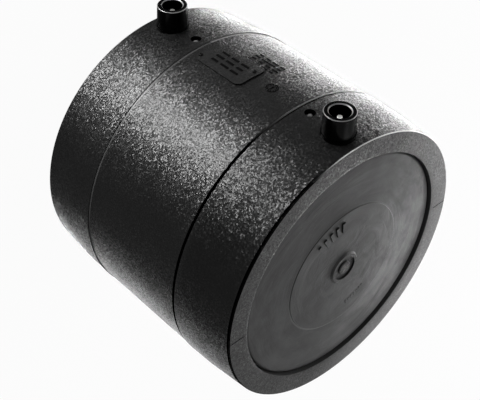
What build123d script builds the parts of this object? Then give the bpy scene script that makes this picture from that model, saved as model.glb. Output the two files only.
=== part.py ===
from build123d import *
from math import pi
import os

# Electrofusion end cap for polyethylene pipe, in millimetres.
# A moulded sleeve stands on its open mouth, which is the plane z = 0, with the origin on the
# sleeve's axis. +Z runs along the axis to the closed end, where a spigot plug fills the bore.
# Both terminals point along +X. One resistance wire heats both halves of the bore.

# Pipe and sleeve
pipe_diameter = 160.0  # outside diameter of the pipe that the socket takes
socket_clearance = 0.5  # radial gap between that pipe and the bore
wall = 16.6  # sleeve wall over its middle
length = 176.5
shoulder_step = 0.4  # how far the end sections stand proud of the middle
shoulder_inset = 45.8  # from each end to the step
taper_inset = 27.0  # from each end to where its taper steepens
shoulder_fall = 0.5  # radius that an end section loses from its step to there
end_taper = 2.3  # radius that it loses from there to its end
end_edge_round = 0.6
line_width = 1.5  # witness groove at the foot of each step
line_floor = 0.9
mouth_line_depth = 0.1
closed_end_line_depth = 1.0
bevel_width = 2.4  # flat bevel around each mouth
bevel_depth = 0.5

# Stops around the middle of the bore
stop_count = 6
stop_height = 5.0
stop_width = 9.0
stop_thickness = 5.0
stop_root = 1.0  # how far a stop is rooted in the wall

# Heating wire
wire_diameter = 1.3
wire_gap = 0.1  # between the wire and the sleeve, and between the wire and the bore's surface
turn_pitch = 4.0
turns = 11.5  # in each half, so that the halves meet on the side away from the terminals
bend_radius = 2.0  # where a half turns into the link
coil_margin = 3.0  # recess beyond the wire at each end of a half
link_slot_width = 1.8

# Terminals
terminal_inset = 15.5  # from each end to the terminal's axis
shroud_top = 14.4  # height of the shroud's rim over the sleeve's middle
shroud_radius = 9.6  # outside, at the rim
shroud_draft = 2.0  # degrees
shroud_root = 8.0  # how far a shroud is rooted in the wall
shroud_bore_radius = 6.5
shroud_depth = 13.5
shroud_rim_round = 0.7
shroud_rim_bevel = 0.6
foot_width = 0.8  # ring around the foot of a shroud
foot_height = 0.5
pin_radius = 2.0
pin_gap = 0.05  # between a pin and the hole that it is moulded into
pin_tip_depth = 3.8  # from the rim down to the pin's tip
pin_collar_radius = 3.6
pin_collar_height = 1.5
pin_tip_round = 0.8

# Fusion indicators
indicator_inset = 38.0  # from each end to the indicator's axis
indicator_well_radius = 3.4
indicator_well_depth = 3.2
indicator_hole_depth = 10.0
indicator_pin_radius = 2.0
indicator_pin_gap = 0.05
indicator_pin_drop = 1.3  # from the sleeve's surface down to the unused pin's top
indicator_pin_round = 1.4
indicator_vent_radius = 1.0  # lets the melt reach the pin

# Label pad
pad_length = 40.5
pad_width = 24.0
pad_rise = 0.9
pad_corner = 4.5
pad_bottom = 51.5  # height of its lower edge
pad_shift = 1.5  # its middle lies this far towards +Y from the terminals' line

# End plug
plug_recess = 2.4  # from the sleeve's end face down to the plug's rim
plug_wall = 14.6
plug_face_thickness = 18.0
plug_rim_round = 2.5
plug_inner_round = 8.0
plug_foot_bevel = 2.0
face_crown = 1.0  # rise of the face from its rim to the raised disc
disc_radius = 45.7
disc_rise = 0.5
disc_edge_round = 0.45
gate_boss_radius = 11.6  # at its foot, on the disc
gate_boss_slope = 1.2  # how far its side leans in
gate_boss_rise = 1.2
gate_recess_radius = 8.5
gate_stub_radius = 4.8
gate_stub_rise = 1.2
gate_stub_round = 1.0

# Sizes that follow from the ones above
bore_radius = pipe_diameter / 2 + socket_clearance
middle_radius = bore_radius + wall
shoulder_radius = middle_radius + shoulder_step
taper_radius = shoulder_radius - shoulder_fall
end_radius = taper_radius - end_taper
mouth_radius = bore_radius + bevel_width
wire_radius = wire_diameter / 2
coil_radius = bore_radius + wire_gap + wire_radius
recess_radius = coil_radius + wire_radius + wire_gap
coil_height = (turns - bend_radius / (2 * pi * coil_radius)) * turn_pitch
coil_end = terminal_inset + coil_height
recess_bottom = terminal_inset - coil_margin
recess_height = coil_height + 2 * coil_margin
link_length = length - 2 * coil_end
rim_distance = middle_radius + shroud_top
shroud_floor = rim_distance - shroud_depth
indicator_shelf = middle_radius - indicator_well_depth
indicator_floor = middle_radius - indicator_hole_depth
plug_radius = pipe_diameter / 2
plug_foot = (length + stop_thickness) / 2
plug_rim = length - plug_recess
plug_ceiling = plug_rim - plug_face_thickness
plug_bore_radius = plug_radius - plug_wall
disc_level = plug_rim + face_crown + disc_rise
gate_top = disc_level + gate_boss_rise
ends = ("mouth", "closed_end")
terminal_heights = (terminal_inset, length - terminal_inset)
indicator_heights = (indicator_inset, length - indicator_inset)


def facing_out(distance, height, shift=0):
    """A plane that faces out along +X, at a distance from the axis and a height."""
    return Plane(origin=(distance, shift, height), x_dir=(0, 1, 0), z_dir=(1, 0, 0))


def circles_of(edges, radius):
    """The edges that are circles of one radius."""
    circles = edges.filter_by(GeomType.CIRCLE)
    return circles.filter_by(lambda edge: abs(edge.radius - radius) < 0.001)


os.makedirs("parts", exist_ok=True)

# Label pad of the sleeve, which follows the sleeve's round
with BuildPart() as label_pad:
    with BuildSketch(facing_out(middle_radius - wall / 2, pad_bottom + pad_length / 2, pad_shift)):
        RectangleRounded(pad_width, pad_length, pad_corner)
    extrude(amount=wall)
    with Locations((0, 0, length / 2)):
        Cylinder(middle_radius + pad_rise, length, mode=Mode.INTERSECT)

# Sleeve: one polyethylene moulding with its shrouds, pad, stops and wire recesses
with BuildPart() as sleeve:
    with BuildSketch(Plane.XZ):
        with BuildLine():
            Polyline(
                (mouth_radius, 0),
                (end_radius, 0),
                (taper_radius, taper_inset),
                (shoulder_radius, shoulder_inset),
                (middle_radius - mouth_line_depth, shoulder_inset),
                (middle_radius - mouth_line_depth, shoulder_inset + line_floor),
                (middle_radius, shoulder_inset + line_width),
                (middle_radius, length - shoulder_inset - line_width),
                (middle_radius - closed_end_line_depth, length - shoulder_inset - line_floor),
                (middle_radius - closed_end_line_depth, length - shoulder_inset),
                (shoulder_radius, length - shoulder_inset),
                (taper_radius, length - taper_inset),
                (end_radius, length),
                (mouth_radius, length),
                (bore_radius, length - bevel_depth),
                (bore_radius, bevel_depth),
                close=True,
            )
        make_face()
    revolve(axis=Axis.Z)
    fillet(circles_of(sleeve.edges(), end_radius), end_edge_round)
    add(label_pad.part)

    for height in terminal_heights:
        with BuildSketch(facing_out(rim_distance, height)):
            Circle(shroud_radius)
        extrude(amount=-(shroud_top + shroud_root), taper=-shroud_draft)
        with BuildSketch(facing_out(middle_radius - shroud_root, height)):
            Circle(shroud_radius + foot_width)
        extrude(amount=shroud_root + foot_height)
    fillet(circles_of(sleeve.edges(), shroud_radius), shroud_rim_round)

    for height in terminal_heights:
        with BuildSketch(facing_out(rim_distance, height)):
            Circle(shroud_bore_radius)
        extrude(amount=-shroud_depth, mode=Mode.SUBTRACT)
        with BuildSketch(facing_out(shroud_floor, height)):
            Circle(pin_radius + pin_gap)
        extrude(amount=-(shroud_floor - coil_radius), mode=Mode.SUBTRACT)
    rims = sleeve.faces().filter_by(Axis.X).sort_by(Axis.X)[-2:]
    chamfer(circles_of(rims.edges(), shroud_bore_radius), shroud_rim_bevel)

    for height in indicator_heights:
        with BuildSketch(facing_out(indicator_shelf, height)):
            Circle(indicator_well_radius)
        extrude(amount=wall, mode=Mode.SUBTRACT)
        with BuildSketch(facing_out(indicator_floor, height)):
            Circle(indicator_pin_radius + indicator_pin_gap)
        extrude(amount=wall, mode=Mode.SUBTRACT)
        with BuildSketch(facing_out(indicator_floor, height)):
            Circle(indicator_vent_radius)
        extrude(amount=-(indicator_floor - coil_radius), mode=Mode.SUBTRACT)

    with Locations((0, 0, length / 2)):
        with PolarLocations(bore_radius + stop_root, stop_count, start_angle=180 / stop_count):
            Box(
                stop_height + stop_root,
                stop_width,
                stop_thickness,
                align=(Align.MAX, Align.CENTER, Align.CENTER),
            )

    for bottom in (recess_bottom, length - recess_bottom - recess_height):
        with BuildSketch(Plane.XZ):
            with Locations((0, bottom)):
                Rectangle(recess_radius, recess_height, align=Align.MIN)
        revolve(axis=Axis.Z, mode=Mode.SUBTRACT)
    with Locations((-recess_radius, 0, length / 2)):
        Box(
            recess_radius - bore_radius + stop_root,
            link_slot_width,
            link_length + 2 * coil_margin,
            align=(Align.MIN, Align.CENTER, Align.CENTER),
            mode=Mode.SUBTRACT,
        )
sleeve.part.label = "sleeve"
export_step(sleeve.part, "parts/sleeve.step")

# End plug: a moulded spigot cap that rests on the stops
with BuildPart() as end_plug:
    with BuildSketch(Plane.XZ):
        with BuildLine():
            Polyline(
                (0, plug_ceiling),
                (plug_bore_radius, plug_ceiling),
                (plug_bore_radius, plug_foot),
                (plug_radius - plug_foot_bevel, plug_foot),
                (plug_radius, plug_foot + plug_foot_bevel),
                (plug_radius, plug_rim),
                (disc_radius, plug_rim + face_crown),
                (disc_radius, disc_level),
                (gate_boss_radius, disc_level),
                (gate_boss_radius - gate_boss_slope, gate_top),
                (gate_recess_radius, gate_top),
                (gate_recess_radius, disc_level),
                (gate_stub_radius, disc_level),
                (gate_stub_radius, disc_level + gate_stub_rise),
                (0, disc_level + gate_stub_rise),
                close=True,
            )
        make_face()
    revolve(axis=Axis.Z)
    rim_edge = circles_of(end_plug.edges(), plug_radius).sort_by(Axis.Z)[-1]
    fillet(rim_edge, plug_rim_round)
    ceiling_edge = circles_of(end_plug.edges(), plug_bore_radius).sort_by(Axis.Z)[-1]
    fillet(ceiling_edge, plug_inner_round)
    disc_edge = circles_of(end_plug.edges(), disc_radius).sort_by(Axis.Z)[-1]
    fillet(disc_edge, disc_edge_round)
    stub_edge = circles_of(end_plug.edges(), gate_stub_radius).sort_by(Axis.Z)[-1]
    fillet(stub_edge, gate_stub_round)
end_plug.part.label = "end_plug"
export_step(end_plug.part, "parts/end_plug.step")

# Half of the heating wire: its winding in the open end of the bore, then the bend and the link
# that runs to the middle
with BuildPart() as wire_half:
    with BuildLine():
        winding = Helix(turn_pitch, coil_height, coil_radius, center=(0, 0, terminal_inset))
        link_foot = (-coil_radius, 0, coil_end + bend_radius)
        bend = Spline(winding @ 1, link_foot, tangents=(winding % 1, (0, 0, 1)))
        link = Line(link_foot, (-coil_radius, 0, length / 2))
    for run in (winding, bend, link):
        with BuildSketch(Plane(run @ 0, z_dir=run % 0)):
            Circle(wire_radius)
        sweep(path=run, is_frenet=True)

# Heating wire: that half, and the same turned end for end
with BuildPart() as heating_wire:
    add(wire_half.part)
    add(wire_half.part.rotate(Axis((0, 0, length / 2), (1, 0, 0)), 180))
heating_wire.part.label = "heating_wire"
export_step(heating_wire.part, "parts/heating_wire.step")

for end, height in zip(ends, terminal_heights):
    # Terminal pin: turned and plated, seated on the shroud's floor, with the wire under its root
    with BuildPart() as terminal_pin:
        with BuildSketch(facing_out(recess_radius, height)):
            Circle(pin_radius)
        extrude(amount=rim_distance - pin_tip_depth - recess_radius)
        with BuildSketch(facing_out(shroud_floor, height)):
            Circle(pin_collar_radius)
        extrude(amount=pin_collar_height)
        tip = terminal_pin.faces().sort_by(Axis.X)[-1]
        fillet(tip.edges(), pin_tip_round)
    terminal_pin.part.label = f"{end}_terminal_pin"
    export_step(terminal_pin.part, f"parts/{end}_terminal_pin.step")

for end, height in zip(ends, indicator_heights):
    # Fusion indicator: a peg with a domed top, which the melt lifts when the joint is made
    with BuildPart() as indicator:
        with BuildSketch(facing_out(indicator_floor, height)):
            Circle(indicator_pin_radius)
        extrude(amount=indicator_hole_depth - indicator_pin_drop)
        top = indicator.faces().sort_by(Axis.X)[-1]
        fillet(top.edges(), indicator_pin_round)
    indicator.part.label = f"{end}_indicator"
    export_step(indicator.part, f"parts/{end}_indicator.step")
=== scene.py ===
import math

import bmesh
import bpy
from mathutils import Matrix, Vector


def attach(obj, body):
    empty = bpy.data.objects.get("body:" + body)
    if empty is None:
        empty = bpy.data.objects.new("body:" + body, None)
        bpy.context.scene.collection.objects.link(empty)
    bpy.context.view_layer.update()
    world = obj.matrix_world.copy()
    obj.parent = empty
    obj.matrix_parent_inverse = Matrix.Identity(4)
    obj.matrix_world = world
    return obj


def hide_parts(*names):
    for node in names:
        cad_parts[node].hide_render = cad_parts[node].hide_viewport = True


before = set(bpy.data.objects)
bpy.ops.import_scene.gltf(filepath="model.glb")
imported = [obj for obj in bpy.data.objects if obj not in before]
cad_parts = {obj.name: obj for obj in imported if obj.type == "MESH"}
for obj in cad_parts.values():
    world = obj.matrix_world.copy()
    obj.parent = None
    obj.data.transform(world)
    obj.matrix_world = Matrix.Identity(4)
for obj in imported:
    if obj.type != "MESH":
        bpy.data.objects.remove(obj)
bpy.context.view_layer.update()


# The sleeve is one black polyethylene injection moulding. Its outside is spark-eroded, so it has a
# fine sparkling grain. The shrouds, the indicators' wells, the label pad and the bore are smoother.
# Handling has left dark streaks on it.
MIDDLE_RADIUS = 0.0971
BORE_RADIUS = 0.0805
END_FACE_INNER_RADIUS = 0.0829
SLEEVE_LENGTH = 0.1765
TERMINAL_HEIGHTS = (0.0155, 0.161)
INDICATOR_HEIGHTS = (0.038, 0.1385)
SHROUD_REACH = 0.0106
WELL_REACH = 0.0035
PAD_MIDDLE = (0.0015, 0.07175)
PAD_HALF = (0.0121, 0.0204)
RIM_BEVEL_DEPTH = 0.0005
EDGE_ROUND = 0.0006
MOUTH_STEP = (0.0456, 0.0476)
# Painted light: the end face and the plug's face are painted paler towards this way, over this span.
PAINTED_LIGHT_WAY = (-0.3, -0.87, 0.0)
PAINTED_LIGHT_FADE = (-0.005, 0.07)
# The groove's heights place the painted edge highlight; the mouth step's side and the rims' height and lean place the
# painted glint.
CLOSED_END_GROOVE = (0.129, 0.131)
GROOVE_SLOPE_TOP = 0.1299
MOUTH_STEP_GLINT_SIDE = -0.005
RIM_HEIGHT = 0.11
RIM_LEAN = (0.3, 0.9)


def add_node(tree, kind, inputs=None, **settings):
    """A node with its settings and its inputs, which are values or other nodes' outputs."""
    node = tree.nodes.new(kind)
    for name, value in settings.items():
        setattr(node, name, value)
    for key, value in (inputs or {}).items():
        if isinstance(value, bpy.types.NodeSocket):
            tree.links.new(value, node.inputs[key])
        else:
            node.inputs[key].default_value = value
    return node


def maths(tree, operation, *values):
    """The output of a Math node."""
    return add_node(tree, "ShaderNodeMath", dict(enumerate(values)), operation=operation).outputs["Value"]


def vector_maths(tree, operation, *values):
    """A Vector Math node."""
    return add_node(tree, "ShaderNodeVectorMath", dict(enumerate(values)), operation=operation)


def mixed_colour(tree, share, first, second):
    """The output of a colour Mix node, from the first colour at 0 to the second at 1."""
    mix = tree.nodes.new("ShaderNodeMix")
    mix.data_type = "RGBA"
    sockets = [socket for socket in mix.inputs if socket.enabled]
    for socket, value in zip(sockets, (share, first, second)):
        if isinstance(value, bpy.types.NodeSocket):
            tree.links.new(value, socket)
        else:
            socket.default_value = value
    return [socket for socket in mix.outputs if socket.enabled][0]


def new_shader_group(name, takes, gives):
    """A shader node group with its end nodes. Each dictionary has socket names and their kinds."""
    group = bpy.data.node_groups.new(name, "ShaderNodeTree")
    for label, kind in takes.items():
        group.interface.new_socket(label, in_out="INPUT", socket_type=f"NodeSocket{kind}")
    for label, kind in gives.items():
        group.interface.new_socket(label, in_out="OUTPUT", socket_type=f"NodeSocket{kind}")
    return group, group.nodes.new("NodeGroupInput").outputs, group.nodes.new("NodeGroupOutput").inputs


def build_grain_group():
    """Group: the leaning facets of a spark-eroded grain, their pits, and soft clouds of gloss."""
    group, takes, gives = new_shader_group(
        "Moulded grain",
        {"Place": "Vector", "Facing": "Vector", "Grains per metre": "Float", "Tilt": "Float"},
        {"Facet": "Vector", "Height": "Float", "Cloud": "Float"},
    )
    grains = add_node(group, "ShaderNodeTexVoronoi", {
        "Vector": takes["Place"],
        "Scale": takes["Grains per metre"],
    }, feature="F1")
    chance = vector_maths(group, "SUBTRACT", grains.outputs["Color"], (0.5, 0.5, 0.5)).outputs[0]
    lean = add_node(group, "ShaderNodeVectorMath", {0: chance, "Scale": takes["Tilt"]}, operation="SCALE")
    leaning = vector_maths(group, "ADD", takes["Facing"], lean.outputs[0]).outputs[0]
    facet = vector_maths(group, "NORMALIZE", leaning).outputs[0]
    cloud = add_node(group, "ShaderNodeTexNoise", {
        "Vector": takes["Place"],
        "Scale": 30.0,
        "Detail": 4.0,
        "Roughness": 0.6,
    })
    group.links.new(facet, gives["Facet"])
    group.links.new(grains.outputs["Distance"], gives["Height"])
    group.links.new(cloud.outputs["Fac"], gives["Cloud"])
    return group


def build_rub_group():
    """Group: a rubbed line from one point to another, which is 1 on the line and 0 away from it."""
    group, takes, gives = new_shader_group(
        "Rubbed line",
        {"Place": "Vector", "From": "Vector", "To": "Vector", "Half width": "Float", "Wander": "Float"},
        {"Mask": "Float"},
    )
    shake = add_node(group, "ShaderNodeTexNoise", {"Vector": takes["Place"], "Scale": 260.0, "Detail": 2.0})
    centred = vector_maths(group, "SUBTRACT", shake.outputs["Color"], (0.5, 0.5, 0.5)).outputs[0]
    offset = add_node(group, "ShaderNodeVectorMath", {0: centred, "Scale": takes["Wander"]}, operation="SCALE")
    place = vector_maths(group, "ADD", takes["Place"], offset.outputs[0]).outputs[0]
    run = vector_maths(group, "SUBTRACT", takes["To"], takes["From"]).outputs[0]
    reach = vector_maths(group, "SUBTRACT", place, takes["From"]).outputs[0]
    along = vector_maths(group, "DOT_PRODUCT", reach, run).outputs["Value"]
    whole = vector_maths(group, "DOT_PRODUCT", run, run).outputs["Value"]
    share = add_node(group, "ShaderNodeClamp", {"Value": maths(group, "DIVIDE", along, whole)})
    step = add_node(group, "ShaderNodeVectorMath", {0: run, "Scale": share.outputs[0]}, operation="SCALE")
    away = vector_maths(group, "DISTANCE", reach, step.outputs[0]).outputs["Value"]
    fade = add_node(group, "ShaderNodeMapRange", {
        "Value": maths(group, "DIVIDE", away, takes["Half width"]),
        "From Min": 0.0,
        "From Max": 1.0,
        "To Min": 1.0,
        "To Max": 0.0,
    }, interpolation_type="SMOOTHSTEP")
    group.links.new(fade.outputs["Result"], gives["Mask"])
    return group


def build_band_group():
    """Group: a band of painted shade round the sleeve, 1 inside its half width, that fades in from one side."""
    group, takes, gives = new_shader_group(
        "Painted shade band",
        {"Place": "Vector", "Height": "Float", "Half width": "Float", "Fade from": "Float", "Fade to": "Float"},
        {"Mask": "Float"},
    )
    place = add_node(group, "ShaderNodeSeparateXYZ", {0: takes["Place"]})
    away = maths(group, "ABSOLUTE", maths(group, "SUBTRACT", place.outputs["Z"], takes["Height"]))
    inside = add_node(group, "ShaderNodeMapRange", {
        "Value": maths(group, "DIVIDE", away, takes["Half width"]),
        "From Min": 0.8,
        "From Max": 1.0,
        "To Min": 1.0,
        "To Max": 0.0,
    }, interpolation_type="SMOOTHSTEP")
    side = add_node(group, "ShaderNodeMapRange", {
        "Value": place.outputs["Y"],
        "From Min": takes["Fade from"],
        "From Max": takes["Fade to"],
    }, interpolation_type="SMOOTHSTEP")
    mask = maths(group, "MULTIPLY", inside.outputs["Result"], side.outputs["Result"])
    group.links.new(mask, gives["Mask"])
    return group


grain = build_grain_group()
rubbed_line = build_rub_group()
painted_shade_band = build_band_group()


def new_material(name):
    """An empty material with its Principled shader and the object's own coordinates."""
    material = bpy.data.materials.new(name)
    material.use_nodes = True
    tree = material.node_tree
    tree.nodes.clear()
    shader = add_node(tree, "ShaderNodeBsdfPrincipled")
    add_node(tree, "ShaderNodeOutputMaterial", {"Surface": shader.outputs["BSDF"]})
    place = add_node(tree, "ShaderNodeTexCoord")
    return material, tree, shader, place.outputs["Object"]


def moulded_plastic(name, dark, light, gloss, grains, tilt, depth, specular, rubs=(), shade_bands=()):
    """Black polyethylene: two greys and two roughnesses that its clouds mix, and its grain.

    The grain has so many facets a metre, which lean by a share of the normal, and pits so deep.

    Each rub is a tuple of two points on the surface, a half width and a wander, in metres.

    Each band is painted shade, which paints the surface near black and takes away its reflection. It is
    a tuple of a height, a half width, the two values of Y between which it fades in, and its strength.
    """
    material, tree, shader, place = new_material(name)
    shader.inputs["Specular IOR Level"].default_value = specular
    surface = add_node(tree, "ShaderNodeGroup", {}, node_tree=grain)
    tree.links.new(place, surface.inputs["Place"])
    surface.inputs["Grains per metre"].default_value = grains
    surface.inputs["Tilt"].default_value = tilt
    facing = add_node(tree, "ShaderNodeNewGeometry")
    tree.links.new(facing.outputs["Normal"], surface.inputs["Facing"])
    cloud = add_node(tree, "ShaderNodeMapRange", {
        "Value": surface.outputs["Cloud"],
        "From Min": 0.35,
        "From Max": 0.65,
    })
    paint = mixed_colour(tree, cloud.outputs["Result"], (dark, dark, dark, 1), (light, light, light, 1))
    roughness = add_node(tree, "ShaderNodeMapRange", {
        "Value": cloud.outputs["Result"],
        "To Min": gloss[1],
        "To Max": gloss[0],
    }).outputs["Result"]
    if rubs:
        masks = []
        for start, end, half_width, wander in rubs:
            mark = add_node(tree, "ShaderNodeGroup", {}, node_tree=rubbed_line)
            tree.links.new(place, mark.inputs["Place"])
            mark.inputs["From"].default_value = start
            mark.inputs["To"].default_value = end
            mark.inputs["Half width"].default_value = half_width
            mark.inputs["Wander"].default_value = wander
            masks.append(mark.outputs["Mask"])
        worn = masks[0]
        for mask in masks[1:]:
            worn = maths(tree, "MAXIMUM", worn, mask)
        worn = maths(tree, "MULTIPLY", worn, 0.75)
        paint = mixed_colour(tree, worn, paint, (0.003, 0.003, 0.003, 1))
        roughness = maths(tree, "MULTIPLY_ADD", worn, 0.35, roughness)
    # Painted shade: each band paints the surface near black and takes away its reflection.
    if shade_bands:
        sheen = specular
        for height, half_width, fade_from, fade_to, strength in shade_bands:
            band = add_node(tree, "ShaderNodeGroup", {}, node_tree=painted_shade_band)
            tree.links.new(place, band.inputs["Place"])
            band.inputs["Height"].default_value = height
            band.inputs["Half width"].default_value = half_width
            band.inputs["Fade from"].default_value = fade_from
            band.inputs["Fade to"].default_value = fade_to
            mask = maths(tree, "MULTIPLY", band.outputs["Mask"], strength)
            bare = maths(tree, "SUBTRACT", 1.0, mask)
            paint = mixed_colour(tree, mask, paint, (0.0002, 0.0002, 0.0002, 1))
            sheen = maths(tree, "MULTIPLY", sheen, bare)
        tree.links.new(sheen, shader.inputs["Specular IOR Level"])
    tree.links.new(paint, shader.inputs["Base Color"])
    tree.links.new(roughness, shader.inputs["Roughness"])
    relief = add_node(tree, "ShaderNodeBump", {
        "Height": surface.outputs["Height"],
        "Normal": surface.outputs["Facet"],
        "Distance": depth,
        "Strength": 1.0,
    })
    tree.links.new(relief.outputs["Normal"], shader.inputs["Normal"])
    return material


def paler_painted_side(tree, place, paint, painted_tone):
    """The paint, which turns into a paler painted tone towards one side, as painted light."""
    across = add_node(tree, "ShaderNodeMapRange", {
        "Value": vector_maths(tree, "DOT_PRODUCT", place, PAINTED_LIGHT_WAY).outputs["Value"],
        "From Min": PAINTED_LIGHT_FADE[0],
        "From Max": PAINTED_LIGHT_FADE[1],
    }, interpolation_type="SMOOTHSTEP")
    return mixed_colour(tree, across.outputs["Result"], paint, painted_tone)


def on_sleeve(degrees, height, radius=MIDDLE_RADIUS):
    """A point on the sleeve's round."""
    angle = math.radians(degrees)
    return radius * math.cos(angle), radius * math.sin(angle), height


def smooth_copy(node, name, sharp_degrees):
    """A merged copy of a solid's mesh, shaded smooth except across its real edges."""
    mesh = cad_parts[node].data.copy()
    mesh.name = name
    mesh.materials.clear()
    if "custom_normal" in mesh.attributes:
        mesh.attributes.remove(mesh.attributes["custom_normal"])
    shape = bmesh.new()
    shape.from_mesh(mesh)
    bmesh.ops.remove_doubles(shape, verts=shape.verts, dist=0.000001)
    shape.to_mesh(mesh)
    shape.free()
    mesh.shade_smooth()
    mesh.set_sharp_from_angle(angle=math.radians(sharp_degrees))
    piece = bpy.data.objects.new(name, mesh)
    bpy.context.collection.objects.link(piece)
    shading = piece.modifiers.new("Even shading", "WEIGHTED_NORMAL")
    shading.keep_sharp = True
    return piece


SLEEVE_RUBS = (
    (on_sleeve(15.5, 0.0245), on_sleeve(21.3, 0.0389), 0.0022, 0.003),
    (on_sleeve(23.9, 0.0768), on_sleeve(22.4, 0.0885), 0.0011, 0.002),
    (on_sleeve(84.1, 0.098), on_sleeve(87.2, 0.122), 0.0004, 0.0002),
    (on_sleeve(110.7, 0.079), on_sleeve(111.0, 0.0795), 0.0012, 0.0),
    (on_sleeve(111.8, 0.1005), on_sleeve(112.0, 0.101), 0.0009, 0.0),
)

# Painted shade: black lines at the closed end's groove and edge, and a weaker darkening of the closed end.
SLEEVE_PAINTED_SHADE = (
    (0.1288, 0.0006, 0.01, 0.04, 1.0),
    (0.1312, 0.0005, 0.04, 0.01, 1.0),
    (0.1751, 0.0009, 0.01, 0.04, 1.0),
    (0.1537, 0.0231, -0.02, 0.04, 0.25),
)
# Painted shade: turns the painted edge highlight near black towards one side.
EDGE_HIGHLIGHT_SHADE = ((0.15, 0.1, 0.0, 0.035, 1.0),)

sleeve = smooth_copy("sleeve", "sleeve_moulding", 20)
GRAINED, END_FACE, POLISHED, PAD, BORE, SHROUD, PAINTED_GLINT, PAINTED_EDGE_HIGHLIGHT = range(8)
grained = moulded_plastic(
    "Spark-eroded polyethylene", 0.0012, 0.002, (0.33, 0.4), 1250, 0.34, 0.00003, 0.28, SLEEVE_RUBS, SLEEVE_PAINTED_SHADE)
polished = moulded_plastic("Polished polyethylene", 0.0008, 0.001, (0.2, 0.26), 900, 0.0, 0.000005, 0.06)
sleeve.data.materials.append(grained)
end_face = moulded_plastic("End face polyethylene", 0.005, 0.008, (0.38, 0.46), 1150, 0.2, 0.00003, 0.18)
tree = end_face.node_tree
paint = tree.nodes["Principled BSDF"].inputs["Base Color"]
place = tree.nodes["Texture Coordinate"].outputs["Object"]
# Painted light: the end face turns paler towards one side.
painted_light_paint = paler_painted_side(tree, place, paint.links[0].from_socket, (0.15, 0.15, 0.15, 1))
tree.links.new(painted_light_paint, paint)
sleeve.data.materials.append(end_face)
sleeve.data.materials.append(polished)
sleeve.data.materials.append(moulded_plastic(
    "Label pad polyethylene", 0.003, 0.005, (0.33, 0.4), 1250, 0.3, 0.00003, 0.3))
sleeve.data.materials.append(moulded_plastic(
    "Bore polyethylene", 0.03, 0.036, (0.34, 0.4), 900, 0.05, 0.00001, 0.3))
sleeve.data.materials.append(moulded_plastic(
    "Shroud polyethylene", 0.0001, 0.0002, (0.14, 0.19), 900, 0.0, 0.000005, 0.05))
# Painted glint: a pale grey painted as a highlight on the shrouds' rims and one side of the mouth step.
sleeve.data.materials.append(moulded_plastic(
    "Painted glint polyethylene", 0.1, 0.14, (0.3, 0.36), 900, 0.0, 0.000005, 0.5))
# Painted highlight: a near-white edge on the closed end and at the foot of its groove.
sleeve.data.materials.append(moulded_plastic(
    "Painted edge highlight polyethylene", 0.65, 0.75, (0.3, 0.36), 900, 0.0, 0.000005, 0.5, (), EDGE_HIGHLIGHT_SHADE))


def sleeve_finish(middle, normal):
    """Which of the sleeve's finishes or painted highlights a face has, from where it is and where it faces."""
    x, y, z = middle
    radius = math.hypot(x, y)
    on_rim = z < RIM_BEVEL_DEPTH or z > SLEEVE_LENGTH - RIM_BEVEL_DEPTH
    if on_rim and radius < END_FACE_INNER_RADIUS:
        return END_FACE
    if radius < BORE_RADIUS + 0.0015:
        return BORE
    # A shroud's rim, where it leans outwards, gets the painted glint.
    if x > 0 and any(math.hypot(y, z - height) < SHROUD_REACH for height in TERMINAL_HEIGHTS):
        return PAINTED_GLINT if x > RIM_HEIGHT and RIM_LEAN[0] < normal[0] < RIM_LEAN[1] else SHROUD
    if x > 0 and any(math.hypot(y, z - height) < WELL_REACH for height in INDICATOR_HEIGHTS):
        return POLISHED
    on_pad = abs(y - PAD_MIDDLE[0]) < PAD_HALF[0] and abs(z - PAD_MIDDLE[1]) < PAD_HALF[1]
    if x > 0 and on_pad and radius > MIDDLE_RADIUS + 0.0001:
        return PAD if normal[0] > 0.8 else POLISHED
    if abs(normal[2]) > 0.95 and (z < 0.0001 or z > SLEEVE_LENGTH - 0.0001):
        return END_FACE
    at_edge = z < EDGE_ROUND or z > SLEEVE_LENGTH - EDGE_ROUND
    in_groove = CLOSED_END_GROOVE[0] < z < CLOSED_END_GROOVE[1] and radius < MIDDLE_RADIUS
    if radius > END_FACE_INNER_RADIUS + EDGE_ROUND and (at_edge or in_groove):
        # The closed end's edge and the foot of its groove get the painted edge highlight.
        gets_edge_highlight = z > CLOSED_END_GROOVE[0] and not GROOVE_SLOPE_TOP < z < CLOSED_END_GROOVE[1]
        return PAINTED_EDGE_HIGHLIGHT if gets_edge_highlight else POLISHED
    # One side of the mouth step gets the painted glint, and the rest of it the bore's paler grey.
    if MOUTH_STEP[0] < z < MOUTH_STEP[1]:
        return PAINTED_GLINT if y < MOUTH_STEP_GLINT_SIDE else BORE
    return GRAINED


for face in sleeve.data.polygons:
    face.material_index = sleeve_finish(face.center, face.normal)
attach(sleeve, "root")
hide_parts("sleeve")


# The marks that the mould leaves on the sleeve's round: rows of plain bars on the pad and past it, a
# date dial, and two ejector dots on the pad. They stand a quarter of a millimetre proud.
def new_shape_tree(name, sizes):
    """A Geometry Nodes tree with named inputs for its sizes, and its two end nodes' sockets."""
    tree = bpy.data.node_groups.new(name, "GeometryNodeTree")
    for label, kind in sizes.items():
        tree.interface.new_socket(label, in_out="INPUT", socket_type=f"NodeSocket{kind}")
    tree.interface.new_socket("Geometry", in_out="OUTPUT", socket_type="NodeSocketGeometry")
    return tree, tree.nodes.new("NodeGroupInput").outputs, tree.nodes.new("NodeGroupOutput").inputs


def piece_from_tree(name, tree, values):
    """An object whose plain mesh is what the tree makes from these values."""
    piece = bpy.data.objects.new(name, bpy.data.meshes.new(name))
    bpy.context.collection.objects.link(piece)
    modifier = piece.modifiers.new("Shape", "NODES")
    modifier.node_group = tree
    for item in tree.interface.items_tree:
        if item.in_out == "INPUT":
            modifier[item.identifier] = values[item.name]
    settled = piece.evaluated_get(bpy.context.evaluated_depsgraph_get())
    mesh = bpy.data.meshes.new_from_object(settled)
    mesh.name = name
    piece.modifiers.remove(modifier)
    piece.data = mesh
    return piece


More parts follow.
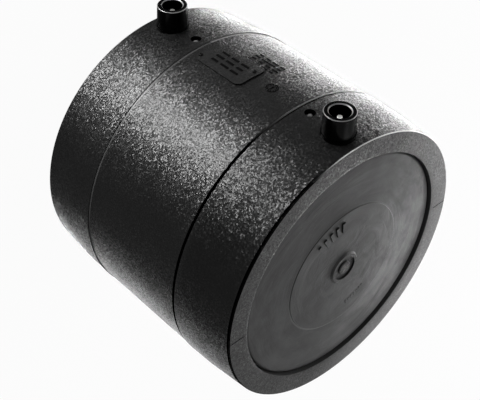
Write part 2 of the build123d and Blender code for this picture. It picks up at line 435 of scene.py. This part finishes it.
def build_bend_group():
    """Group: bends flat geometry round the axis. X is the arc, Y the height and Z the rise."""
    group = bpy.data.node_groups.new("Bend round the sleeve", "GeometryNodeTree")
    group.interface.new_socket("Geometry", in_out="INPUT", socket_type="NodeSocketGeometry")
    group.interface.new_socket("Radius", in_out="INPUT", socket_type="NodeSocketFloat")
    group.interface.new_socket("Geometry", in_out="OUTPUT", socket_type="NodeSocketGeometry")
    takes = group.nodes.new("NodeGroupInput").outputs
    gives = group.nodes.new("NodeGroupOutput").inputs
    flat = add_node(group, "ShaderNodeSeparateXYZ", {0: group.nodes.new("GeometryNodeInputPosition").outputs[0]})
    angle = maths(group, "DIVIDE", flat.outputs["X"], takes["Radius"])
    reach = maths(group, "ADD", flat.outputs["Z"], takes["Radius"])
    bent = add_node(group, "ShaderNodeCombineXYZ", {
        "X": maths(group, "MULTIPLY", reach, maths(group, "COSINE", angle)),
        "Y": maths(group, "MULTIPLY", reach, maths(group, "SINE", angle)),
        "Z": flat.outputs["Y"],
    })
    moved = add_node(group, "GeometryNodeSetPosition", {
        "Geometry": takes["Geometry"],
        "Position": bent.outputs[0],
    })
    group.links.new(moved.outputs[0], gives["Geometry"])
    return group


bend_round = build_bend_group()


def build_bar_tree():
    """Rows of plain bars on the sleeve's round, each of its own length."""
    tree, takes, gives = new_shape_tree("Rows of bars", {
        "Rows": "Int",
        "Bars in a row": "Int",
        "Row pitch": "Float",
        "Bar pitch": "Float",
        "Bar size": "Vector",
        "Shortest share": "Float",
        "Middle": "Vector",
        "Radius": "Float",
        "Seed": "Int",
        "Material": "Material",
    })
    spots = add_node(tree, "GeometryNodeMeshGrid", {
        "Size X": maths(tree, "MULTIPLY", maths(tree, "SUBTRACT", takes["Rows"], 1), takes["Row pitch"]),
        "Size Y": maths(tree, "MULTIPLY", maths(tree, "SUBTRACT", takes["Bars in a row"], 1), takes["Bar pitch"]),
        "Vertices X": takes["Rows"],
        "Vertices Y": takes["Bars in a row"],
    })
    bar = add_node(tree, "GeometryNodeMeshCube", {"Size": takes["Bar size"], "Vertices X": 4, "Vertices Y": 4})
    share = add_node(tree, "FunctionNodeRandomValue", {"Seed": takes["Seed"]}, data_type="FLOAT")
    shortest, longest = [socket for socket in share.inputs if socket.enabled][:2]
    tree.links.new(takes["Shortest share"], shortest)
    longest.default_value = 1.0
    length = [socket for socket in share.outputs if socket.enabled][0]
    scale = add_node(tree, "ShaderNodeCombineXYZ", {"X": 1.0, "Y": length, "Z": 1.0})
    bars = add_node(tree, "GeometryNodeInstanceOnPoints", {
        "Points": spots.outputs["Mesh"],
        "Instance": bar.outputs["Mesh"],
        "Scale": scale.outputs[0],
    })
    placed = add_node(tree, "GeometryNodeTransform", {
        "Geometry": add_node(tree, "GeometryNodeRealizeInstances", {"Geometry": bars.outputs[0]}).outputs[0],
        "Translation": takes["Middle"],
    })
    bent = add_node(tree, "GeometryNodeGroup", {}, node_tree=bend_round)
    tree.links.new(placed.outputs[0], bent.inputs["Geometry"])
    tree.links.new(takes["Radius"], bent.inputs["Radius"])
    painted = add_node(tree, "GeometryNodeSetMaterial", {
        "Geometry": bent.outputs[0],
        "Material": takes["Material"],
    })
    tree.links.new(painted.outputs[0], gives["Geometry"])
    return tree


def build_dial_tree():
    """A date dial on the sleeve's round: a ring, ticks inside it and a pointer."""
    tree, takes, gives = new_shape_tree("Date dial", {
        "Ring radius": "Float",
        "Line radius": "Float",
        "Ticks": "Int",
        "Tick size": "Vector",
        "Pointer size": "Vector",
        "Middle": "Vector",
        "Radius": "Float",
        "Material": "Material",
    })
    ring = add_node(tree, "GeometryNodeCurveToMesh", {
        "Curve": add_node(tree, "GeometryNodeCurvePrimitiveCircle", {
            "Resolution": 40,
            "Radius": takes["Ring radius"],
        }).outputs[0],
        "Profile Curve": add_node(tree, "GeometryNodeCurvePrimitiveCircle", {
            "Resolution": 6,
            "Radius": takes["Line radius"],
        }).outputs[0],
    })
    spots = add_node(tree, "GeometryNodeMeshCircle", {
        "Vertices": takes["Ticks"],
        "Radius": maths(tree, "MULTIPLY", takes["Ring radius"], 0.76),
    })
    place = tree.nodes.new("GeometryNodeInputPosition").outputs[0]
    outward = add_node(tree, "FunctionNodeAlignRotationToVector", {"Vector": place}, axis="X")
    ticks = add_node(tree, "GeometryNodeInstanceOnPoints", {
        "Points": spots.outputs["Mesh"],
        "Instance": add_node(tree, "GeometryNodeMeshCube", {"Size": takes["Tick size"]}).outputs["Mesh"],
        "Rotation": outward.outputs[0],
    })
    pointer = add_node(tree, "GeometryNodeMeshCube", {"Size": takes["Pointer size"]})
    joined = tree.nodes.new("GeometryNodeJoinGeometry")
    tree.links.new(ring.outputs[0], joined.inputs[0])
    tree.links.new(add_node(tree, "GeometryNodeRealizeInstances", {
        "Geometry": ticks.outputs[0],
    }).outputs[0], joined.inputs[0])
    tree.links.new(pointer.outputs["Mesh"], joined.inputs[0])
    placed = add_node(tree, "GeometryNodeTransform", {
        "Geometry": joined.outputs[0],
        "Translation": takes["Middle"],
    })
    bent = add_node(tree, "GeometryNodeGroup", {}, node_tree=bend_round)
    tree.links.new(placed.outputs[0], bent.inputs["Geometry"])
    tree.links.new(takes["Radius"], bent.inputs["Radius"])
    painted = add_node(tree, "GeometryNodeSetMaterial", {
        "Geometry": bent.outputs[0],
        "Material": takes["Material"],
    })
    tree.links.new(painted.outputs[0], gives["Geometry"])
    return tree


def part_of_sleeve(piece):
    """Fixes a small piece of the sleeve's moulding to the one body."""
    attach(piece, "root")


MARK_THICKNESS = 0.0006
PAD_SURFACE = 0.098
bar_rows = build_bar_tree()
part_of_sleeve(piece_from_tree("pad_bars", bar_rows, {
    "Rows": 3,
    "Bars in a row": 3,
    "Row pitch": 0.0046,
    "Bar pitch": 0.0086,
    "Bar size": (0.0016, 0.0066, MARK_THICKNESS),
    "Shortest share": 0.7,
    "Middle": (0.0022, 0.0722, 0.0),
    "Radius": PAD_SURFACE,
    "Seed": 3,
    "Material": polished,
}))
part_of_sleeve(piece_from_tree("data_bars", bar_rows, {
    "Rows": 4,
    "Bars in a row": 4,
    "Row pitch": 0.0034,
    "Bar pitch": 0.0061,
    "Bar size": (0.0013, 0.0052, MARK_THICKNESS),
    "Shortest share": 0.45,
    "Middle": (-0.0162, 0.085, 0.0),
    "Radius": MIDDLE_RADIUS,
    "Seed": 8,
    "Material": polished,
}))
part_of_sleeve(piece_from_tree("date_dial", build_dial_tree(), {
    "Ring radius": 0.0039,
    "Line radius": 0.0003,
    "Ticks": 12,
    "Tick size": (0.0009, 0.0004, MARK_THICKNESS),
    "Pointer size": (0.0035, 0.0007, MARK_THICKNESS),
    "Middle": (-0.0002, 0.1066, 0.0),
    "Radius": MIDDLE_RADIUS,
    "Material": polished,
}))

DOT_RADIUS = 0.0017
DOT_SINK = 0.0006
DOTS = ((0.0092, 0.0535), (-0.0029, 0.0886))
for number, (arc, height) in enumerate(DOTS, start=1):
    bpy.ops.mesh.primitive_uv_sphere_add(segments=20, ring_count=10, radius=DOT_RADIUS)
    dot = bpy.context.object
    dot.name = f"pad_dot_{number}"
    dot.data.transform(Matrix.Translation(on_sleeve(math.degrees(arc / PAD_SURFACE), height, PAD_SURFACE - DOT_SINK)))
    dot.data.shade_smooth()
    dot.data.materials.append(polished)
    part_of_sleeve(dot)


# The end plug is a black polyethylene spigot cap, moulded separately. Its face is satin with flow marks
# round the gate. It is painted paler towards one side, with a painted highlight round its disc's rim.
# It is pushed into the bore and rests on the stops.
def build_flow_group():
    """Group: the arcs that the melt leaves as it spreads from the gate."""
    group, takes, gives = new_shader_group("Flow marks", {"Place": "Vector"}, {"Swirl": "Float"})
    flat = add_node(group, "ShaderNodeSeparateXYZ", {0: takes["Place"]})
    radius = vector_maths(group, "LENGTH", vector_maths(
        group, "MULTIPLY", takes["Place"], (1.0, 1.0, 0.0)).outputs[0]).outputs["Value"]
    polar = add_node(group, "ShaderNodeCombineXYZ", {
        "X": maths(group, "MULTIPLY", radius, 55.0),
        "Y": maths(group, "MULTIPLY", maths(group, "DIVIDE", flat.outputs["X"], radius), 0.9),
        "Z": maths(group, "MULTIPLY", maths(group, "DIVIDE", flat.outputs["Y"], radius), 0.9),
    })
    arcs = add_node(group, "ShaderNodeTexNoise", {
        "Vector": polar.outputs[0],
        "Scale": 1.6,
        "Detail": 5.0,
        "Roughness": 0.6,
        "Distortion": 0.9,
    })
    swirl = add_node(group, "ShaderNodeMapRange", {
        "Value": arcs.outputs["Fac"],
        "From Min": 0.35,
        "From Max": 0.68,
    })
    group.links.new(swirl.outputs["Result"], gives["Swirl"])
    return group


DISC_RADIUS = 0.0459

plug = smooth_copy("end_plug", "end_plug_moulding", 20)
satin, tree, shader, place = new_material("Satin polyethylene")
shader.inputs["Specular IOR Level"].default_value = 0.18
flow = add_node(tree, "ShaderNodeGroup", {}, node_tree=build_flow_group())
tree.links.new(place, flow.inputs["Place"])
patches = add_node(tree, "ShaderNodeTexNoise", {"Vector": place, "Scale": 42.0, "Detail": 4.0, "Roughness": 0.65})
patchy = add_node(tree, "ShaderNodeMapRange", {"Value": patches.outputs["Fac"], "From Min": 0.4, "From Max": 0.6})
marked = maths(tree, "MULTIPLY_ADD", maths(tree, "SUBTRACT", patchy.outputs["Result"], flow.outputs["Swirl"]), 0.5,
               flow.outputs["Swirl"])
darker = mixed_colour(tree, marked, (0.0005, 0.0005, 0.0005, 1), (0.022, 0.022, 0.0225, 1))
# Painted light: these paler tones are painted on the plug's face towards one side.
painted_paler = mixed_colour(tree, marked, (0.04, 0.04, 0.041, 1), (0.16, 0.16, 0.161, 1))
sheen = paler_painted_side(tree, place, darker, painted_paler)
around = vector_maths(tree, "LENGTH", vector_maths(tree, "MULTIPLY", place, (1.0, 1.0, 0.0)).outputs[0]).outputs["Value"]
# Painted highlight: a light line round the rim of the plug's disc.
painted_rim_highlight = add_node(tree, "ShaderNodeMapRange", {
    "Value": maths(tree, "ABSOLUTE", maths(tree, "SUBTRACT", around, DISC_RADIUS)),
    "From Min": 0.0003,
    "From Max": 0.001,
    "To Min": 0.8,
    "To Max": 0.0,
}, interpolation_type="SMOOTHSTEP")
sheen = mixed_colour(tree, painted_rim_highlight.outputs["Result"], sheen, (0.07, 0.07, 0.07, 1))
tree.links.new(sheen, shader.inputs["Base Color"])
gloss = add_node(tree, "ShaderNodeMapRange", {
    "Value": flow.outputs["Swirl"],
    "To Min": 0.46,
    "To Max": 0.36,
})
tree.links.new(gloss.outputs["Result"], shader.inputs["Roughness"])
relief = add_node(tree, "ShaderNodeBump", {"Height": flow.outputs["Swirl"], "Distance": 0.0002, "Strength": 0.6})
tree.links.new(relief.outputs["Normal"], shader.inputs["Normal"])
plug.data.materials.append(satin)
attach(plug, "root")
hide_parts("end_plug")


# Two rows of plain bars stand on the plug's disc, opposite each other round the gate, and the mould
# leaves a fine parting line across each side of the sleeve's end face.
def build_arc_tree():
    """Bars on a flat face, side by side round its middle."""
    tree, takes, gives = new_shape_tree("Bars round a face", {
        "Bars": "Int",
        "Radius": "Float",
        "Middle angle": "Float",
        "Step": "Float",
        "Bar size": "Vector",
        "Level": "Float",
        "Material": "Material",
    })
    middle = maths(tree, "DIVIDE", maths(tree, "SUBTRACT", takes["Bars"], 1), 2.0)
    number = tree.nodes.new("GeometryNodeInputIndex").outputs[0]
    angle = maths(tree, "MULTIPLY_ADD", maths(tree, "SUBTRACT", number, middle), takes["Step"], takes["Middle angle"])
    spot = add_node(tree, "ShaderNodeCombineXYZ", {
        "X": maths(tree, "MULTIPLY", takes["Radius"], maths(tree, "COSINE", angle)),
        "Y": maths(tree, "MULTIPLY", takes["Radius"], maths(tree, "SINE", angle)),
        "Z": takes["Level"],
    })
    spots = add_node(tree, "GeometryNodePoints", {"Count": takes["Bars"], "Position": spot.outputs[0]})
    bars = add_node(tree, "GeometryNodeInstanceOnPoints", {
        "Points": spots.outputs[0],
        "Instance": add_node(tree, "GeometryNodeMeshCube", {"Size": takes["Bar size"]}).outputs["Mesh"],
        "Rotation": add_node(tree, "ShaderNodeCombineXYZ", {"Z": angle}).outputs[0],
    })
    painted = add_node(tree, "GeometryNodeSetMaterial", {
        "Geometry": add_node(tree, "GeometryNodeRealizeInstances", {"Geometry": bars.outputs[0]}).outputs[0],
        "Material": takes["Material"],
    })
    tree.links.new(painted.outputs[0], gives["Geometry"])
    return tree


DISC_LEVEL = 0.1756
face_bars = build_arc_tree()
for name, count, radius, middle_angle, step, size in (
    ("disc_bars", 5, 0.0362, 21.7, 7.6, (0.0074, 0.0023, 0.0018)),
    ("disc_small_bars", 7, 0.035, 201.8, 4.2, (0.0026, 0.001, MARK_THICKNESS)),
):
    bars = piece_from_tree(name, face_bars, {
        "Bars": count,
        "Radius": radius,
        "Middle angle": math.radians(middle_angle),
        "Step": math.radians(step),
        "Bar size": size,
        "Level": DISC_LEVEL,
        "Material": satin,
    })
    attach(bars, "root")
part_of_sleeve(piece_from_tree("parting_lines", face_bars, {
    "Bars": 2,
    "Radius": (END_FACE_INNER_RADIUS + 0.0945) / 2,
    "Middle angle": 0.0,
    "Step": math.pi,
    "Bar size": (0.0945 - END_FACE_INNER_RADIUS - 0.0008, 0.00035, 0.0003),
    "Level": SLEEVE_LENGTH,
    "Material": polished,
}))


# The heating wire is bare resistance wire in one run, wound in both ends of the bore and joined by
# a straight link on the side away from the terminals.
def build_wire_tree():
    """One half of the wire and its copy, turned end for end."""
    tree, takes, gives = new_shape_tree("Heating wire", {
        "Turns": "Float",
        "Pitch": "Float",
        "Coil radius": "Float",
        "First height": "Float",
        "Bend radius": "Float",
        "Wire radius": "Float",
        "Sleeve length": "Float",
        "Material": "Material",
    })
    round_length = maths(tree, "MULTIPLY", takes["Coil radius"], 2 * math.pi)
    turns = maths(tree, "SUBTRACT", takes["Turns"], maths(tree, "DIVIDE", takes["Bend radius"], round_length))
    rise = maths(tree, "MULTIPLY", turns, takes["Pitch"])
    top = maths(tree, "ADD", takes["First height"], rise)
    far_side = maths(tree, "MULTIPLY", takes["Coil radius"], -1.0)
    winding = add_node(tree, "GeometryNodeTransform", {
        "Geometry": add_node(tree, "GeometryNodeCurveSpiral", {
            "Resolution": 72,
            "Rotations": turns,
            "Start Radius": takes["Coil radius"],
            "End Radius": takes["Coil radius"],
            "Height": rise,
            "Reverse": True,
        }).outputs[0],
        "Translation": add_node(tree, "ShaderNodeCombineXYZ", {"Z": takes["First height"]}).outputs[0],
    })
    link_foot = add_node(tree, "ShaderNodeCombineXYZ", {
        "X": far_side,
        "Z": maths(tree, "ADD", top, takes["Bend radius"]),
    })
    bend = add_node(tree, "GeometryNodeCurveQuadraticBezier", {
        "Resolution": 6,
        "Start": add_node(tree, "ShaderNodeCombineXYZ", {
            "X": far_side,
            "Y": takes["Bend radius"],
            "Z": top,
        }).outputs[0],
        "Middle": add_node(tree, "ShaderNodeCombineXYZ", {"X": far_side, "Z": top}).outputs[0],
        "End": link_foot.outputs[0],
    })
    link = add_node(tree, "GeometryNodeCurvePrimitiveLine", {
        "Start": link_foot.outputs[0],
        "End": add_node(tree, "ShaderNodeCombineXYZ", {
            "X": far_side,
            "Z": maths(tree, "DIVIDE", takes["Sleeve length"], 2.0),
        }).outputs[0],
    })
    path = tree.nodes.new("GeometryNodeJoinGeometry")
    for run in (winding, bend, link):
        tree.links.new(run.outputs[0], path.inputs[0])
    half = add_node(tree, "GeometryNodeCurveToMesh", {
        "Curve": path.outputs[0],
        "Profile Curve": add_node(tree, "GeometryNodeCurvePrimitiveCircle", {
            "Resolution": 10,
            "Radius": takes["Wire radius"],
        }).outputs[0],
        "Fill Caps": True,
    })
    turned = add_node(tree, "GeometryNodeTransform", {
        "Geometry": half.outputs[0],
        "Translation": add_node(tree, "ShaderNodeCombineXYZ", {"Z": takes["Sleeve length"]}).outputs[0],
        "Rotation": (math.pi, 0.0, 0.0),
    })
    both = tree.nodes.new("GeometryNodeJoinGeometry")
    tree.links.new(half.outputs[0], both.inputs[0])
    tree.links.new(turned.outputs[0], both.inputs[0])
    painted = add_node(tree, "GeometryNodeSetMaterial", {
        "Geometry": add_node(tree, "GeometryNodeSetShadeSmooth", {"Geometry": both.outputs[0]}).outputs[0],
        "Material": takes["Material"],
    })
    tree.links.new(painted.outputs[0], gives["Geometry"])
    return tree


wire_metal, tree, shader, place = new_material("Bare resistance wire")
shader.inputs["Base Color"].default_value = (0.62, 0.4, 0.27, 1)
shader.inputs["Metallic"].default_value = 1.0
shader.inputs["Roughness"].default_value = 0.35
wire = piece_from_tree("heating_wire_winding", build_wire_tree(), {
    "Turns": 11.5,
    "Pitch": 0.004,
    "Coil radius": 0.08125,
    "First height": TERMINAL_HEIGHTS[0],
    "Bend radius": 0.002,
    "Wire radius": 0.00065,
    "Sleeve length": SLEEVE_LENGTH,
    "Material": wire_metal,
})
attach(wire, "root")
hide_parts("heating_wire")


# The terminal pins are turned brass, tin plated, and moulded into the shrouds' floors.
tin_plate, tree, shader, place = new_material("Tin plate")
shader.inputs["Base Color"].default_value = (0.85, 0.85, 0.82, 1)
shader.inputs["Metallic"].default_value = 1.0
shader.inputs["Roughness"].default_value = 0.22
for end in ("mouth", "closed_end"):
    pin = smooth_copy(f"{end}_terminal_pin", f"{end}_pin", 30)
    pin.data.materials.append(tin_plate)
    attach(pin, "root")
    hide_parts(f"{end}_terminal_pin")


# The fusion indicators are polyethylene pegs with domed tops, sunk in their wells until the melt
# lifts them.
for end in ("mouth", "closed_end"):
    peg = smooth_copy(f"{end}_indicator", f"{end}_peg", 40)
    peg.data.materials.append(moulded_plastic(
        "Indicator polyethylene", 0.06, 0.08, (0.16, 0.2), 900, 0.0, 0.000002, 0.8))
    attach(peg, "root")
    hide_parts(f"{end}_indicator")


# The floor is plain and pale. It shows white to the camera and in reflections, and keeps the
# object's shadow. The lamps that reach below it shine through it.
FLOOR_HALF = 4.0
bpy.ops.mesh.primitive_plane_add(size=2 * FLOOR_HALF)
floor = bpy.context.object
floor.name = "floor"
floor.visible_shadow = False
floor_paint = bpy.data.materials.new("Pale floor")
floor_paint.use_nodes = True
tree = floor_paint.node_tree
tree.nodes.clear()


def seen_directly(tree):
    """1 for the camera's, glossy and transmission rays, and 0 for the rest."""
    path = add_node(tree, "ShaderNodeLightPath").outputs
    first = maths(tree, "MAXIMUM", path["Is Camera Ray"], path["Is Glossy Ray"])
    return maths(tree, "MAXIMUM", first, path["Is Transmission Ray"])


CAMERA_WHITE = 0.96
REFLECTED_WHITE = 0.07
lit = add_node(tree, "ShaderNodeBsdfDiffuse", {"Color": (0.45, 0.45, 0.45, 1)})
white = add_node(tree, "ShaderNodeEmission", {"Color": (1, 1, 1, 1), "Strength": 1.0})
path = add_node(tree, "ShaderNodeLightPath").outputs
reflected = maths(tree, "MULTIPLY", seen_directly(tree), REFLECTED_WHITE)
pictured = maths(tree, "MULTIPLY", path["Is Camera Ray"], CAMERA_WHITE)
mixed = add_node(tree, "ShaderNodeMixShader", {
    0: maths(tree, "MAXIMUM", reflected, pictured),
    1: lit.outputs["BSDF"],
    2: white.outputs["Emission"],
})
add_node(tree, "ShaderNodeOutputMaterial", {"Surface": mixed.outputs["Shader"]})
floor.data.materials.append(floor_paint)

# The world is white behind the object and a soft grey light on it.
world = bpy.data.worlds.new("Studio")
bpy.context.scene.world = world
world.use_nodes = True
tree = world.node_tree
tree.nodes.clear()
soft = add_node(tree, "ShaderNodeBackground", {"Color": (1, 1, 1, 1), "Strength": 0.18})
white = add_node(tree, "ShaderNodeBackground", {"Color": (1, 1, 1, 1), "Strength": 1.0})
mixed = add_node(tree, "ShaderNodeMixShader", {
    0: seen_directly(tree),
    1: soft.outputs["Background"],
    2: white.outputs["Background"],
})
add_node(tree, "ShaderNodeOutputWorld", {"Surface": mixed.outputs["Shader"]})


def softbox(name, azimuth, elevation, distance, aim_height, size, power):
    """An area light that faces a height on the object's axis from so many degrees round and up."""
    lamp = bpy.data.lights.new(name, "AREA")
    lamp.shape = "RECTANGLE"
    lamp.size, lamp.size_y = size
    lamp.energy = power
    lamp.cycles.use_multiple_importance_sampling = False
    holder = bpy.data.objects.new(name, lamp)
    a, e = math.radians(azimuth), math.radians(elevation)
    towards = Vector((math.cos(a) * math.cos(e), math.sin(a) * math.cos(e), math.sin(e)))
    holder.location = Vector((0, 0, aim_height)) + towards * distance
    holder.rotation_euler = towards.to_track_quat("Z", "Y").to_euler()
    bpy.context.collection.objects.link(holder)


softbox("Key strip", 28, 0, 0.6, -0.36, (0.24, 0.42), 13)
softbox("Right strip", -98, 0, 0.7, -0.3, (0.6, 0.8), 7.5)
softbox("Left strip", 178, 0, 0.7, -0.4, (0.4, 0.5), 1.3)
softbox("Face softbox", 241, 7, 1.0, 0.17, (0.8, 0.3), 4.4)
softbox("Top softbox", 200, 75, 1.2, 0.1, (0.8, 0.8), 3)
softbox("Side softbox", -78, 32, 1.2, 0.1, (0.6, 0.8), 6)

# The camera stands where the photograph was taken from, rolled to its angle.
lens = bpy.data.cameras.new("Camera")
lens.lens = 81.01
lens.sensor_width = 36.0
lens.clip_start = 0.01
camera = bpy.data.objects.new("Camera", lens)
bpy.context.collection.objects.link(camera)
camera.matrix_world = Matrix((
    (0.01526, 0.7457, 0.6661, 0.4709),
    (-0.74057, -0.43917, 0.50861, 0.3658),
    (0.67181, -0.50106, 0.54555, 0.4736),
    (0, 0, 0, 1),
))
bpy.context.scene.camera = camera
bpy.context.scene.view_settings.view_transform = "Standard"
